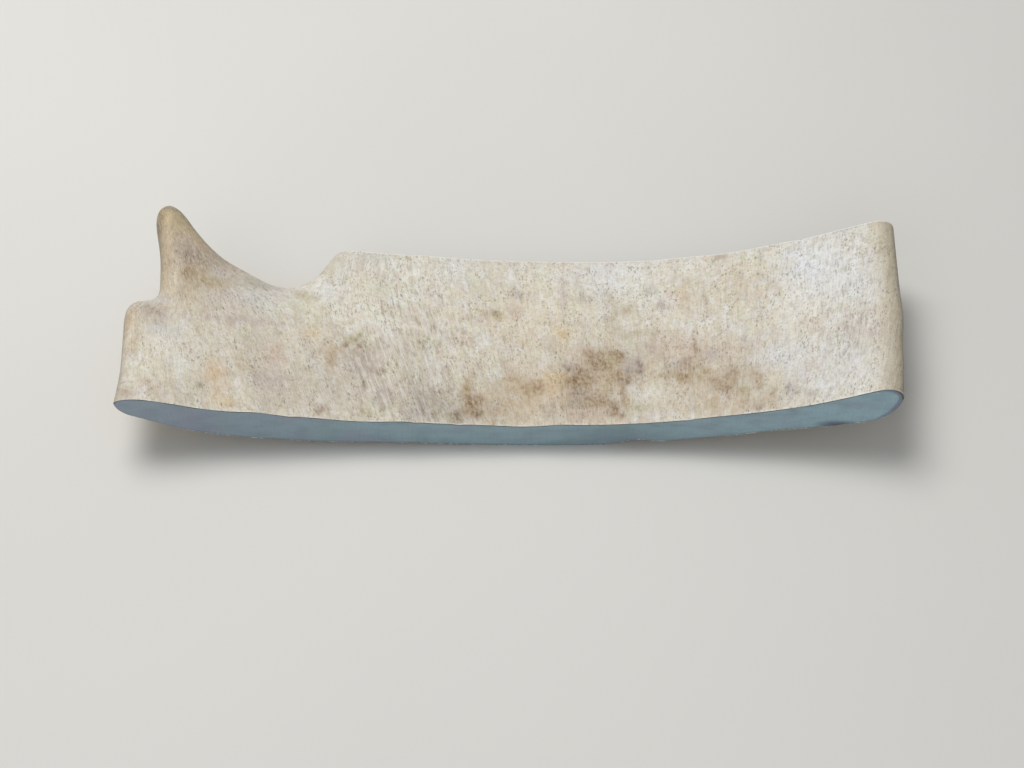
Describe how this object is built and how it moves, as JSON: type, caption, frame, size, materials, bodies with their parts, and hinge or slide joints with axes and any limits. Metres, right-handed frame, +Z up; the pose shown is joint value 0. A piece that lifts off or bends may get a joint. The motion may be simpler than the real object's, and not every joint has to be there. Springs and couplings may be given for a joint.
{
  "type": "moose antler",
  "caption": "Sawn slice of moose antler palm: a dished strip of bone with flat saw cuts along both long sides, rounded natural ends and one upturned tine.",
  "frame": {"origin": "bottom centre of the bounding box, on the ground that the convex lower face rests on", "axes": "+X along the strip, from the end with the tine to the plain rounded end; +Y from the root-side saw cut to the crown-side saw cut, the way the tine points; +Z up, out of the dished upper face"},
  "size_m": [0.2638, 0.0826, 0.0324],
  "materials": {
    "antler_bone": "dry weathered bone: matt warm off-white with brown stains, pores and fine striations; the saw cuts are smooth blue-grey"
  },
  "bodies": {
    "root": {"antler": "antler_bone"}
  },
  "joints": []
}
